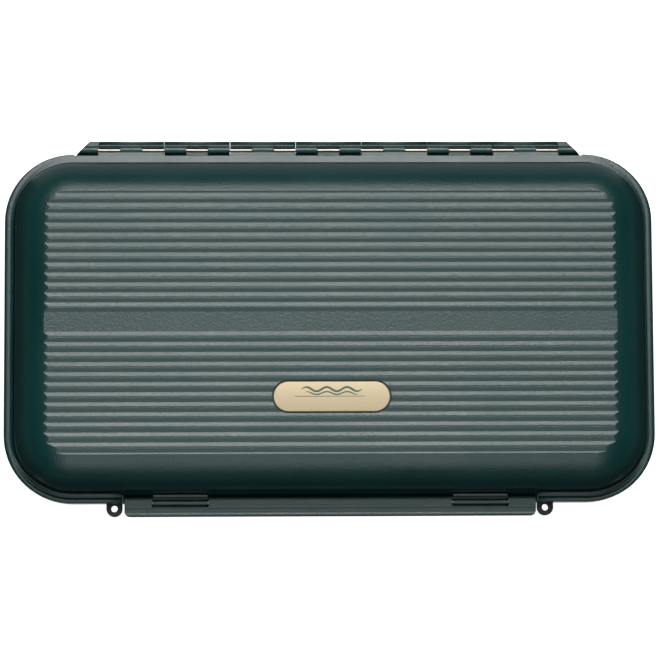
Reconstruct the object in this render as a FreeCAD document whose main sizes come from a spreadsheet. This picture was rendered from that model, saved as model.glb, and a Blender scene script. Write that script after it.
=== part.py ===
import FreeCAD, Part
import math
import os
import Sketcher
from FreeCAD import Placement, Rotation, Vector

# Fly box: a pocket case for fishing flies, in millimetres.
# Two domed shells meet at a parting plane. A pin through interleaved knuckles hinges them at the back (+Y),
# a long flip latch on the lid closes them at the front (-Y), a seal in the base's rim keeps the water out,
# and each shell holds a tray of foam strips. X runs along the case and Z up. The origin is on the table,
# under the middle of the case.

# Driving dimensions: name, value, what it measures
DIMENSIONS = [
    # Shells
    ("rim_length", 196.0, "rim, along the case"),
    ("rim_depth", 105.6, "rim, front to back"),
    ("rim_corner", 20.5, "radius of the rim's corners, in plan"),
    ("half_thickness", 22.0, "parting plane to the crest of a shell"),
    ("parting_gap", 0.2, "gap between the two rims"),
    ("bead_width", 2.5, "bead round the rim"),
    ("bead_height", 4.0, "parting plane to the crest of the bead"),
    ("bead_fall", 0.45, "outward fall of the bead's top"),
    ("gutter_width", 0.9, "gutter between bead and dome"),
    ("gutter_flat", 0.25, "flat bottom of the gutter"),
    ("gutter_depth", 1.3, "bottom of the gutter below the bead's crest"),
    ("wall_lean", 0.45, "inward lean of the dome's wall"),
    ("side_wall", 2.6, "wall thickness at the gutter"),
    ("crown_wall", 2.0, "wall thickness of the flat crown"),
    ("shoulder_run", 10.4, "shoulder's arc, measured inward"),
    ("shoulder_drop", 10.9, "shoulder's arc, measured down from the crown"),
    ("shoulder_crease", 2.5, "shoulder's centre inside the crown's edge, which makes a faint crease there"),
    ("crown_lap", 1.5, "lap of the crown plate inside the shoulder"),
    # Grooves of the crown
    ("groove_pitch", 2.97, "spacing of the grooves"),
    ("groove_width", 2.1, "width of a groove at the crest"),
    ("groove_depth", 0.28, "depth of a groove"),
    ("band_width", 8.1, "plain band across the middle, edge to edge"),
    ("band_land_front", 0.95, "land between the band and the groove in front of it"),
    ("band_land_rear", 0.62, "land between the band and the groove behind it"),
    # Badge
    ("badge_length", 34.5, "badge, along the case"),
    ("badge_depth", 9.0, "badge, front to back"),
    ("badge_forward", 22.3, "badge's centre in front of the middle"),
    ("badge_thickness", 0.95, "thickness of the badge"),
    ("badge_bevel", 0.2, "bevel round the badge's face"),
    ("badge_clearance", 0.35, "gap round the badge in its seat"),
    # Hinge
    ("hinge_offset", 1.85, "hinge axis beyond the rim"),
    ("hinge_pin_radius", 0.5, "hinge pin"),
    ("hinge_running", 0.05, "radial play of the hinge pin"),
    ("knuckle_radius", 2.55, "outside of the knuckles"),
    ("ledge_height", 0.95, "ledge behind the pin, above the axis"),
    ("window_reach", 1.15, "ledge's front edge behind the axis"),
    ("hump_radius", 1.45, "cover over the pin"),
    ("block_pitch", 20.0, "length of one knuckle block"),
    ("block_gap", 0.12, "gap between neighbouring blocks"),
    ("end_block", 7.0, "length of the outermost blocks"),
    ("pin_seat", 3.5, "reach of the pin into an end block"),
    ("lip_reach", 0.75, "lip of the lid's rim in front of the pin"),
    ("lip_height", 3.38, "lip's outer edge, above the axis"),
    ("swing_clearance", 0.2, "room round the parts that swing"),
    ("notch_depth", 0.3, "notch in the lid's rim at the base's knuckles"),
    # Latch
    ("latch_half", 61.75, "middle of the case to the latch's end"),
    ("latch_axis_in", 0.1, "latch axis inside the rim's edge"),
    ("latch_axis_up", 2.9, "latch axis above the parting plane"),
    ("latch_pin_radius", 0.4, "latch pin"),
    ("latch_running", 0.05, "radial play of the latch pin"),
    ("latch_knuckle", 1.75, "outside of the latch's knuckles"),
    ("latch_flat_up", 1.2, "flat on top of the knuckles, above the axis"),
    ("latch_flat_rear", 0.4, "that flat's rear edge behind the axis"),
    ("latch_flat_front", 0.54, "that flat's front edge in front of the axis"),
    ("latch_rear_edge", 1.42, "knuckles' rear top edge behind the axis"),
    ("latch_bend_run", 1.21, "bend in front of the flat, front to back; a hollow of the same radius follows"),
    ("latch_bend_drop", 0.39, "bend in front of the flat, fall"),
    ("latch_lip_run", 0.5, "rise of the hollow to the lip, front to back"),
    ("latch_lip_round", 0.75, "rounding of the lip"),
    ("latch_lip_face", 0.25, "upright face below the rounding"),
    ("latch_lip_under", 1.5, "foot of the lip's underside below the axis"),
    ("carrier_radius", 0.9, "outside of the lid's knuckles for the latch"),
    ("window_inner", 36.6, "middle of the case to a window's inner end"),
    ("window_outer", 53.45, "middle of the case to a window's outer end"),
    ("window_gap", 0.25, "gap between latch and lid in a window"),
    ("latch_inner_face", 1.3, "latch's inner face beyond the rim"),
    ("latch_outer_face", 2.6, "latch's outer face beyond the rim"),
    ("latch_lower_edge", 7.6, "latch plate's lower edge below the parting plane"),
    ("catch_drop", 3.4, "middle of the latch's catch below the parting plane"),
    ("catch_radius", 0.35, "catch on the latch's inner face"),
    ("keeper_drop", 2.25, "middle of the base's keeper below the parting plane"),
    ("keeper_radius", 0.8, "half-round keeper on the base's rim"),
    ("sill_reach", 1.1, "sill on the base's rim under a window, beyond the rim"),
    ("sill_height", 1.2, "sill, top to bottom"),
    ("tab_half", 58.9, "middle of the case to the finger tab's end"),
    ("tab_root", 5.8, "finger tab's root below the parting plane"),
    ("tab_tip", 9.2, "finger tab's tip below the parting plane"),
    ("tab_reach", 3.4, "finger tab's tip beyond the rim"),
    ("tab_thickness", 1.3, "finger tab, front to back"),
    ("latch_end_round", 1.6, "rounding of the latch's ends, in plan"),
    ("latch_pin_inset", 1.2, "latch pin's end inside the latch's end"),
    ("trench_floor", 1.2, "floor of the trench behind the latch, above the parting plane"),
    ("trench_toe", 1.9, "foot of the trench's slope, inside the rim's edge"),
    ("trench_bead_left", 0.7, "sliver of bead left in front of a window"),
    ("trench_end", 0.4, "trench beyond the latch's end"),
    # Lanyard eyes
    ("eye_half", 64.95, "middle of the case to an eye's hole"),
    ("eye_out", 1.5, "eye's hole beyond the rim"),
    ("eye_radius", 2.4, "outside of an eye"),
    ("eye_hole", 1.0, "radius of an eye's hole"),
    ("eye_top", 0.4, "top of an eye below the parting plane"),
    ("eye_height", 2.4, "height of an eye"),
    ("eye_tongue_width", 3.0, "tongue that holds the eye in the rim"),
    ("eye_tongue_reach", 1.4, "tongue, into the rim"),
    ("eye_tongue_height", 1.2, "tongue, bottom to top"),
    ("eye_fit", 0.08, "gap round the tongue"),
    # Seal
    ("seal_inset", 3.1, "seal's groove inside the rim's edge"),
    ("seal_groove_width", 1.8, "width of the seal's groove"),
    ("seal_groove_depth", 1.4, "depth of the seal's groove"),
    ("seal_width", 1.5, "width of the seal"),
    ("seal_height", 1.5, "height of the seal"),
    ("seal_round", 0.45, "rounding of the seal's crown"),
    # Trays and foam
    ("tray_leg", 2.8, "height of the tray's feet"),
    ("tray_plate", 1.2, "thickness of the tray"),
    ("tray_clearance", 0.6, "gap between the tray's edge and the shell"),
    ("foot_radius", 3.0, "tray's feet"),
    ("foot_spread_x", 60.0, "tray's outer feet from the middle, along the case"),
    ("foot_spread_y", 25.0, "tray's feet from the middle, front to back"),
    ("foam_pitch", 10.4, "spacing of the foam strips"),
    ("foam_width", 7.0, "foam strip, front to back"),
    ("foam_length", 160.0, "foam strip, along the case"),
    ("foam_height", 6.0, "foam strip above the tray"),
    ("rail_height", 0.8, "rails between the foam strips"),
    ("foam_side_gap", 0.15, "gap between a rail and the foam"),
    # Cuts
    ("overrun", 2.0, "reach of every cut past the surface that it opens"),
]

GROOVES_PER_SIDE = 12
FOAM_STRIPS = 8
LID_BLOCKS = 4

document = FreeCAD.newDocument("FlyBox")
sheet = document.addObject("Spreadsheet::Sheet", "Sizes")


class Size:
    """A length from the sheet, or a length worked out from some: its value and its expression."""

    def __init__(self, value, text):
        self.value = float(value)
        self.text = text

    def __add__(self, other):
        other = as_size(other)
        return Size(self.value + other.value, f"({self.text} + {other.text})")

    def __sub__(self, other):
        other = as_size(other)
        return Size(self.value - other.value, f"({self.text} - {other.text})")

    def __mul__(self, other):
        other = as_size(other)
        return Size(self.value * other.value, f"({self.text} * {other.text})")

    def __truediv__(self, other):
        other = as_size(other)
        return Size(self.value / other.value, f"({self.text} / {other.text})")

    def __neg__(self):
        return Size(-self.value, f"(0 - {self.text})")

    __rmul__ = __mul__


def as_size(number):
    return number if isinstance(number, Size) else Size(number, repr(float(number)))


def root(size):
    return Size(math.sqrt(size.value), f"sqrt({size.text})")


def read_sizes():
    """Fill the sheet and return its cells by name."""
    cells = {}
    for row, (name, value, meaning) in enumerate(DIMENSIONS, start=1):
        sheet.set(f"A{row}", meaning)
        sheet.set(f"B{row}", str(value))
        sheet.setAlias(f"B{row}", name)
        cells[name] = Size(value, f"Sizes.{name}")
    document.recompute()
    return cells


size = read_sizes()
ZERO = as_size(0)

# Places that several pieces share
rim_half_length = size["rim_length"] / 2
rim_half_depth = size["rim_depth"] / 2
parting = size["half_thickness"]
half_gap = size["parting_gap"] / 2
gutter_height = size["bead_height"] - size["gutter_depth"]
dome_inset = size["bead_width"] + size["gutter_width"]
crease_inset = dome_inset + size["wall_lean"]
crown_inset = crease_inset + size["shoulder_run"]
inner_inset = dome_inset + size["side_wall"]
crease_height = size["half_thickness"] - size["shoulder_drop"]
shoulder_centre = crown_inset + size["shoulder_crease"]
shoulder_reach = size["shoulder_run"] + size["shoulder_crease"]
shoulder_square = (
    shoulder_reach * shoulder_reach
    + size["shoulder_drop"] * size["shoulder_drop"]
    - size["shoulder_crease"] * size["shoulder_crease"]
)
shoulder_centre_drop = shoulder_square / (2 * size["shoulder_drop"])
inner_crown = size["half_thickness"] - size["crown_wall"]
inner_run = crown_inset - inner_inset
inner_drop = size["shoulder_drop"] * inner_run / size["shoulder_run"]
inner_reach = inner_run + size["shoulder_crease"]
inner_square = (
    inner_reach * inner_reach + inner_drop * inner_drop - size["shoulder_crease"] * size["shoulder_crease"]
)
inner_centre_drop = inner_square / (2 * inner_drop)
bore_radius = size["hinge_pin_radius"] + size["hinge_running"]
bore_at_gap = root(bore_radius * bore_radius - half_gap * half_gap)
hinge_y = rim_half_depth + size["hinge_offset"]
ledge_square = size["knuckle_radius"] * size["knuckle_radius"] + size["ledge_height"] * size["ledge_height"]
ledge_corner = root(ledge_square)
swing_radius = ledge_corner + size["swing_clearance"]
latch_y = size["latch_axis_in"] - rim_half_depth
latch_lip_back = -(size["latch_flat_front"] + 2 * size["latch_bend_run"] + size["latch_lip_run"])
latch_front = latch_y + latch_lip_back - size["latch_lip_round"]
latch_z = parting + size["latch_axis_up"]
latch_bore = size["latch_pin_radius"] + size["latch_running"]
badge_half_length = size["badge_length"] / 2
badge_half_depth = size["badge_depth"] / 2


# Sketch and feature helpers


def bind(thing, name, length):
    """Set a property to a length of the sheet."""
    thing.setExpression(name, length.text)


def line(across, up):
    """A corner from which the outline runs straight."""
    return (across, up, None)


def arc(across, up, centre_across, centre_up, turns_left):
    """A corner from which the outline runs on an arc about a centre."""
    return (across, up, (centre_across, centre_up, turns_left))


def tie(sketch, edge, point, kind, length):
    """Hold a point of the sketch at a distance from the origin, given by the sheet."""
    number = sketch.addConstraint(Sketcher.Constraint(kind, -1, 1, edge, point, length.value))
    sketch.setExpression(f"Constraints[{number}]", length.text)


def add_outline(sketch, corners):
    """Draw one closed loop through the corners and tie each of them to the sheet."""
    first = sketch.GeometryCount
    count = len(corners)
    ends = []
    for index, (across, up, bend) in enumerate(corners):
        after = corners[(index + 1) % count]
        start = Vector(across.value, up.value, 0)
        finish = Vector(after[0].value, after[1].value, 0)
        if bend is None:
            sketch.addGeometry(Part.LineSegment(start, finish), False)
            ends.append((1, 2))
            continue
        centre_across, centre_up, turns_left = bend
        centre = Vector(centre_across.value, centre_up.value, 0)
        circle = Part.Circle(centre, Vector(0, 0, 1), start.distanceToPoint(centre))
        begin, end = (start, finish) if turns_left else (finish, start)
        sketch.addGeometry(
            Part.ArcOfCircle(circle, circle.parameter(begin), circle.parameter(end)), False
        )
        ends.append((1, 2) if turns_left else (2, 1))
    for index, (across, up, bend) in enumerate(corners):
        edge = first + index
        following = first + (index + 1) % count
        start_end = ends[index][0]
        finish_end = ends[index][1]
        next_start = ends[(index + 1) % count][0]
        sketch.addConstraint(Sketcher.Constraint("Coincident", edge, finish_end, following, next_start))
        tie(sketch, edge, start_end, "DistanceX", across)
        tie(sketch, edge, start_end, "DistanceY", up)
        if bend is not None:
            after = corners[(index + 1) % count]
            chord_across = abs(after[0].value - across.value)
            chord_up = abs(after[1].value - up.value)
            if chord_across > chord_up:
                tie(sketch, edge, 3, "DistanceY", bend[1])
            else:
                tie(sketch, edge, 3, "DistanceX", bend[0])


def add_circle(sketch, across, up, radius):
    """Draw a circle tied to the sheet."""
    edge = sketch.addGeometry(
        Part.Circle(Vector(across.value, up.value, 0), Vector(0, 0, 1), radius.value), False
    )
    tie(sketch, edge, 3, "DistanceX", across)
    tie(sketch, edge, 3, "DistanceY", up)
    number = sketch.addConstraint(Sketcher.Constraint("Radius", edge, radius.value))
    sketch.setExpression(f"Constraints[{number}]", radius.text)


def rounded_rectangle(half_length, half_depth, corner):
    """Corners of a rectangle with rounded corners, starting in the middle of its front side."""
    east = half_length - corner
    north = half_depth - corner
    return [
        line(ZERO, -half_depth),
        arc(east, -half_depth, east, -north, True),
        line(half_length, -north),
        arc(half_length, north, east, north, True),
        line(east, half_depth),
        arc(-east, half_depth, -east, north, True),
        line(-half_length, north),
        arc(-half_length, -north, -east, -north, True),
        line(-east, -half_depth),
    ]


def rim_outline(inset):
    """The rim's outline in plan, drawn in by an inset."""
    return rounded_rectangle(rim_half_length - inset, rim_half_depth - inset, size["rim_corner"] - inset)


def box_outline(across_low, across_high, up_low, up_high):
    return [
        line(across_low, up_low),
        line(across_high, up_low),
        line(across_high, up_high),
        line(across_low, up_high),
    ]


def stadium(half_length, half_depth, across, up):
    """Corners of a bar with round ends, centred on a place."""
    straight = half_length - half_depth
    return [
        arc(across + straight, up - half_depth, across + straight, up, True),
        line(across + straight, up + half_depth),
        arc(across - straight, up + half_depth, across - straight, up, True),
        line(across - straight, up - half_depth),
    ]


def new_body(label):
    body = document.addObject("PartDesign::Body", label)
    body.Label = label
    return body


def new_sketch(body, name, plane, offset=ZERO):
    """A sketch on a plane of the body's origin, or a parallel one."""
    sketch = body.newObject("Sketcher::SketchObject", name)
    support = [feature for feature in body.Origin.OriginFeatures if feature.Role == plane][0]
    sketch.AttachmentSupport = [(support, "")]
    sketch.MapMode = "FlatFace"
    bind(sketch, "AttachmentOffset.Base.z", offset)
    return sketch


def feature(body, kind, name, sketch, length, reverse=False):
    """A pad or pocket of a sketch, by a length along its normal."""
    result = body.newObject(f"PartDesign::{kind}", name)
    result.Profile = sketch
    bind(result, "Length", length)
    result.Reversed = reverse
    return result


def prism(body, kind, name, loops, low, high):
    """A section drawn in the YZ plane, padded or cut from one X to another."""
    sketch = new_sketch(body, f"{name}_section", "YZ_Plane", low)
    for loop in loops:
        add_outline(sketch, loop)
    return feature(body, kind, name, sketch, high - low, reverse=(kind == "Pocket"))


def round_prism(body, kind, name, across, up, radius, low, high):
    """A round bar or bore along X."""
    sketch = new_sketch(body, f"{name}_section", "YZ_Plane", low)
    add_circle(sketch, across, up, radius)
    return feature(body, kind, name, sketch, high - low, reverse=(kind == "Pocket"))


def plate(body, kind, name, loops, low, high):
    """A plan outline, padded or cut from one height to another."""
    sketch = new_sketch(body, f"{name}_plan", "XY_Plane", low)
    for loop in loops:
        add_outline(sketch, loop)
    return feature(body, kind, name, sketch, high - low, reverse=(kind == "Pocket"))


def dress_top(body, kind, name, base, level):
    """A fillet or chamfer on all edges above a level."""
    document.recompute()
    edges = [
        f"Edge{number}"
        for number, edge in enumerate(base.Shape.Edges, start=1)
        if edge.BoundBox.ZMin > level.value
    ]
    result = body.newObject(f"PartDesign::{kind}", name)
    result.Base = (base, edges)
    return result


def row(body, original, name, axis, spacing, count):
    """Repeat a feature along its sketch's axis."""
    pattern = body.newObject("PartDesign::LinearPattern", name)
    pattern.Originals = [original]
    pattern.Direction = (original.Profile[0], [axis])
    bind(pattern, "Length", spacing * (count - 1))
    pattern.Occurrences = count
    body.Tip = pattern
    return pattern


# Shells


class Side:
    """One of the two shells: heights measured from the parting plane, up in the lid and down in the base."""

    def __init__(self, up):
        self.up = up

    def level(self, height):
        return parting + height if self.up else parting - height

    def arc(self, across, height, centre_across, centre_height, turns_left):
        turns = turns_left if self.up else not turns_left
        return arc(across, self.level(height), centre_across, self.level(centre_height), turns)

    def line(self, across, height):
        return line(across, self.level(height))

    def span(self, height_one, height_two):
        """Two heights as levels, the lower first."""
        return sorted((self.level(height_one), self.level(height_two)), key=lambda level: level.value)


def shell_section(side):
    """The wall's section at the front: rim, bead, gutter, dome wall, shoulder and the lap of the crown."""

    def inward(inset):
        return inset - rim_half_depth

    crown = size["half_thickness"]
    lap_inset = crown_inset + size["crown_lap"]
    return [
        side.line(inward(ZERO), half_gap),
        side.line(inward(inner_inset), half_gap),
        side.arc(
            inward(inner_inset),
            inner_crown - inner_drop,
            inward(shoulder_centre),
            inner_crown - inner_centre_drop,
            False,
        ),
        side.line(inward(crown_inset), inner_crown),
        side.line(inward(lap_inset), inner_crown),
        side.line(inward(lap_inset), crown),
        side.arc(inward(crown_inset), crown, inward(shoulder_centre), crown - shoulder_centre_drop, True),
        side.line(inward(crease_inset), crease_height),
        side.line(inward(dome_inset), gutter_height),
        side.line(inward(dome_inset - size["gutter_flat"]), gutter_height),
        side.line(inward(size["bead_width"]), size["bead_height"]),
        side.line(inward(ZERO), size["bead_height"] - size["bead_fall"]),
    ]


def sweep_round_rim(body, name, section):
    """Sweep a section, drawn at the middle of the front, once round the rim."""
    spine = new_sketch(body, f"{name}_path", "XY_Plane", parting)
    add_outline(spine, rim_outline(ZERO))
    profile = new_sketch(body, f"{name}_section", "YZ_Plane")
    add_outline(profile, section)
    document.recompute()
    pipe = body.newObject("PartDesign::AdditivePipe", name)
    pipe.Profile = profile
    pipe.Spine = (spine, [])
    return pipe


def add_crown(body, side):
    """The flat plate inside the shoulder, lapped on the swept wall."""
    half_lap = crown_inset + size["crown_lap"] / 2
    low, high = side.span(inner_crown, size["half_thickness"])
    plate(body, "Pad", "crown", [rim_outline(half_lap)], low, high)


def add_grooves(body, side):
    """Rows of V grooves over the crown, and the plain sunk band between them."""
    crest = side.level(size["half_thickness"])
    floor = side.level(size["half_thickness"] - size["groove_depth"])
    above = side.level(size["half_thickness"] + size["overrun"])
    half_width = size["groove_width"] / 2
    half_band = size["band_width"] / 2
    low = -(rim_half_length + size["overrun"])
    high = -low
    field = size["groove_pitch"] * (GROOVES_PER_SIDE - 1)
    front = -(half_band + size["band_land_front"] + half_width + field)
    rear = half_band + size["band_land_rear"] + half_width
    for name, start in (("front_groove", front), ("rear_groove", rear)):
        groove = [
            line(start - half_width, crest),
            line(start, floor),
            line(start + half_width, crest),
            line(start + half_width, above),
            line(start - half_width, above),
        ]
        cut = prism(body, "Pocket", name, [groove], low, high)
        row(body, cut, f"{name}s", "H_Axis", size["groove_pitch"], GROOVES_PER_SIDE)
    band = [
        line(-half_band, crest),
        line(half_width - half_band, floor),
        line(half_band - half_width, floor),
        line(half_band, crest),
        line(half_band, above),
        line(-half_band, above),
    ]
    prism(body, "Pocket", "plain_band", [band], low, high)


def new_shell(label, side):
    body = new_body(label)
    sweep_round_rim(body, "rim_and_dome", shell_section(side))
    add_crown(body, side)
    add_grooves(body, side)
    return body


# Hinge: the knuckle blocks alternate, lid first and last, with a base block beyond each end. A block's thirds
# take turns as an open window on the pin and a cover over it.

block_half = (size["block_pitch"] - size["block_gap"]) / 2
third = size["block_pitch"] / 3
lid_block_start = -(size["block_pitch"] * (LID_BLOCKS - 1))
hinge_half = size["block_pitch"] * (LID_BLOCKS - 0.5)
pin_half = hinge_half + size["pin_seat"]


def hinge_line(out, up):
    return line(hinge_y + out, parting + up)


def hinge_arc(out, up, turns_left):
    """An arc about the hinge axis."""
    return arc(hinge_y + out, parting + up, hinge_y, parting, turns_left)


def trough_section(in_lid):
    """The open trough under the pin: ledge behind it, wall in front of it, joined to its own rim."""
    outer = size["knuckle_radius"]
    wall_foot = size["hinge_offset"] + size["swing_clearance"]
    lip_rise = (size["lip_reach"] + size["swing_clearance"]) * size["bead_fall"] / size["bead_width"]
    behind = [
        hinge_line(size["window_reach"], size["ledge_height"]),
        hinge_arc(bore_radius, ZERO, False),
    ]
    if in_lid:
        front = [
            hinge_line(-bore_radius, ZERO),
            hinge_line(size["lip_reach"] - size["hinge_offset"], size["lip_height"]),
            hinge_line(-wall_foot, size["lip_height"] + lip_rise),
            hinge_arc(-outer, ZERO, True),
        ]
    else:
        front = [
            hinge_line(-bore_at_gap, -half_gap),
            hinge_line(-wall_foot, -half_gap),
            hinge_line(-wall_foot, -outer),
            hinge_arc(ZERO, -outer, True),
        ]
    return behind + front + [hinge_line(outer, ZERO), hinge_line(outer, size["ledge_height"])]


def hinge_box(out_low, out_high, up_low, up_high):
    return box_outline(hinge_y + out_low, hinge_y + out_high, parting + up_low, parting + up_high)


def add_knuckles(body, in_lid, first_centre, count):
    """A row of knuckle blocks: troughs, the covers over their covered thirds and the slots under those."""
    name = "lid" if in_lid else "base"
    step = size["block_pitch"] * 2
    low = first_centre - block_half
    trough = prism(body, "Pad", f"{name}_trough", [trough_section(in_lid)], low, first_centre + block_half)
    row(body, trough, f"{name}_troughs", "N_Axis", step, count)
    if in_lid:
        covers = [(first_centre - third / 2, first_centre + third / 2)]
    else:
        covers = [(low, first_centre - third / 2), (first_centre + third / 2, first_centre + block_half)]
    slot = hinge_box(-bore_radius, bore_radius, -(size["knuckle_radius"] + size["overrun"]), ZERO)
    for number, (cover_low, cover_high) in enumerate(covers, start=1):
        hump = round_prism(
            body, "Pad", f"{name}_hump_{number}", hinge_y, parting, size["hump_radius"], cover_low, cover_high
        )
        row(body, hump, f"{name}_humps_{number}", "N_Axis", step, count)
        cut = prism(body, "Pocket", f"{name}_slot_{number}", [slot], cover_low, cover_high)
        row(body, cut, f"{name}_slots_{number}", "N_Axis", step, count)


def swing_room(body, name, first_centre, count, reach):
    """Hollow the rim round the other shell's knuckles."""
    cut = round_prism(
        body, "Pocket", name, hinge_y, parting, swing_radius, first_centre - reach, first_centre + reach
    )
    if count > 1:
        row(body, cut, f"{name}s", "N_Axis", size["block_pitch"] * 2, count)


def pin_bore(body, low, high):
    round_prism(body, "Pocket", "hinge_bore", hinge_y, parting, bore_radius, low, high)


def front_line(out, up):
    return line(-(rim_half_depth + out), parting + up)


def front_arc(out, up, centre_out, centre_up):
    return arc(
        -(rim_half_depth + out), parting + up, -(rim_half_depth + centre_out), parting + centre_up, True
    )


def latch_line(back, up):
    """A corner placed from the latch axis."""
    return line(latch_y + back, latch_z + up)


def latch_arc(back, up, centre_back, centre_up, turns_left):
    return arc(latch_y + back, latch_z + up, latch_y + centre_back, latch_z + centre_up, turns_left)


def front_box(out_low, out_high, up_low, up_high):
    return box_outline(
        -(rim_half_depth + out_high), -(rim_half_depth + out_low), parting + up_low, parting + up_high
    )


def latch_stretches(spare_end, spare_window):
    """The three stretches of the latch that carry its knuckles, each made longer by the spares."""
    inner = size["window_inner"] + spare_window
    outer = size["window_outer"] - spare_window
    end = size["latch_half"] + spare_end
    return [("left", -end, -outer), ("middle", -inner, inner), ("right", outer, end)]


def latch_windows(spare):
    """The two stretches between them, each made shorter by a spare."""
    inner = size["window_inner"] + spare
    outer = size["window_outer"] - spare
    return [("left", -outer, -inner), ("right", inner, outer)]


def make_lid_shell():
    body = new_shell("lid_shell", Side(True))

    # Room for the base's knuckles, and the lid's own
    above = size["bead_height"] + size["overrun"]
    notch = hinge_box(-(size["hinge_offset"] + size["notch_depth"]), size["overrun"], -half_gap, above)
    middle = size["block_pitch"] / 2
    base_start = -(size["block_pitch"] * (LID_BLOCKS - 2))
    cut = prism(body, "Pocket", "knuckle_notch", [notch], base_start - middle, base_start + middle)
    row(body, cut, "knuckle_notches", "N_Axis", size["block_pitch"] * 2, LID_BLOCKS - 1)
    swing_room(body, "knuckle_room", base_start, LID_BLOCKS - 1, middle)
    end_reach = size["end_block"] / 2 + size["block_gap"]
    end_centre = hinge_half + size["end_block"] / 2 + size["block_gap"] / 2
    for side_name, centre in (("left", -end_centre), ("right", end_centre)):
        prism(body, "Pocket", f"end_notch_{side_name}", [notch], centre - end_reach, centre + end_reach)
        swing_room(body, f"end_room_{side_name}", centre, 1, end_reach)
    add_knuckles(body, True, lid_block_start, LID_BLOCKS)
    pin_bore(body, -pin_half, pin_half)

    # Trench behind the latch's knuckles, and room for them to turn
    trench = [
        front_line(-dome_inset, gutter_height),
        front_line(-size["trench_toe"], size["trench_floor"]),
        front_line(size["overrun"], size["trench_floor"]),
        front_line(size["overrun"], above),
        front_line(-dome_inset, above),
    ]
    knuckle_room = size["latch_knuckle"] + size["swing_clearance"]
    for name, low, high in latch_stretches(size["trench_end"], size["window_gap"]):
        prism(body, "Pocket", f"trench_{name}", [trench], low, high)
        round_prism(body, "Pocket", f"latch_room_{name}", latch_y, latch_z, knuckle_room, low, high)

    # Windows of the latch, where the lid's own knuckles carry the latch pin
    carrier = size["carrier_radius"]
    opening = front_box(
        size["trench_bead_left"] - size["bead_width"], size["overrun"], size["trench_floor"], above
    )
    web = front_box(
        -(size["latch_axis_in"] + carrier), -size["latch_axis_in"], half_gap, size["latch_axis_up"]
    )
    for name, low, high in latch_windows(size["window_gap"]):
        prism(body, "Pocket", f"window_{name}", [opening], low, high)
        prism(body, "Pad", f"carrier_web_{name}", [web], low, high)
        round_prism(body, "Pad", f"carrier_{name}", latch_y, latch_z, carrier, low, high)
    reach = size["window_outer"]
    round_prism(body, "Pocket", "latch_bore", latch_y, latch_z, latch_bore, -reach, reach)

    # Seat of the badge
    crest = parting + size["half_thickness"]
    seat = stadium(
        badge_half_length + size["badge_clearance"],
        badge_half_depth + size["badge_clearance"],
        ZERO,
        -size["badge_forward"],
    )
    plate(body, "Pocket", "badge_seat", [seat], crest - size["badge_thickness"], crest + size["overrun"])
    return body


def make_base_shell():
    body = new_shell("base_shell", Side(False))

    # Room for the lid's knuckles, and the base's own
    swing_room(body, "knuckle_room", lid_block_start, LID_BLOCKS, size["block_pitch"] / 2)
    add_knuckles(body, False, -(size["block_pitch"] * (LID_BLOCKS - 2)), LID_BLOCKS - 1)
    inner = hinge_half + size["block_gap"] / 2
    outer = hinge_half + size["end_block"]
    for name, low, high in (("left", -outer, -inner), ("right", inner, outer)):
        prism(body, "Pad", f"end_trough_{name}", [trough_section(False)], low, high)
        round_prism(body, "Pad", f"end_hump_{name}", hinge_y, parting, size["hump_radius"], low, high)
    pin_bore(body, -pin_half, outer + size["overrun"])

    # Slanted outer faces of the end blocks
    spare = size["overrun"]
    depth = size["hinge_offset"] + size["knuckle_radius"]
    for name, sign in (("left", -1), ("right", 1)):
        slant = [
            line(sign * outer, rim_half_depth),
            line(sign * (outer + spare), rim_half_depth),
            line(sign * (outer + spare), rim_half_depth + depth + spare),
            line(sign * (outer - depth - spare), rim_half_depth + depth + spare),
        ]
        height = size["bead_height"]
        plate(body, "Pocket", f"end_slant_{name}", [slant], parting - height, parting + height)

    # Keeper that the latch's catch snaps under
    reach = size["window_inner"]
    keeper_z = parting - size["keeper_drop"]
    round_prism(body, "Pad", "keeper", -rim_half_depth, keeper_z, size["keeper_radius"], -reach, reach)

    # Sills that close the windows from below
    sill_low = -(half_gap + size["sill_height"])
    sill = front_box(-size["bead_width"], size["sill_reach"], sill_low, -half_gap)
    for name, low, high in latch_windows(size["window_gap"]):
        prism(body, "Pad", f"sill_{name}", [sill], low, high)

    # Groove for the seal
    top = parting - half_gap
    loops = [rim_outline(size["seal_inset"]), rim_outline(size["seal_inset"] + size["seal_groove_width"])]
    plate(body, "Pocket", "seal_groove", loops, top - size["seal_groove_depth"], top + size["overrun"])

    # Slots for the tongues of the lanyard eyes
    half_width = size["eye_tongue_width"] / 2 + size["eye_fit"]
    depth = size["eye_tongue_reach"] + size["eye_fit"]
    half_height = size["eye_tongue_height"] / 2 + size["eye_fit"]
    middle = parting - size["eye_top"] - size["eye_height"] / 2
    for name, sign in (("left", -1), ("right", 1)):
        centre = sign * size["eye_half"]
        front = -(rim_half_depth + size["overrun"])
        slot = box_outline(centre - half_width, centre + half_width, front, depth - rim_half_depth)
        plate(body, "Pocket", f"eye_slot_{name}", [slot], middle - half_height, middle + half_height)
    return body


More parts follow.
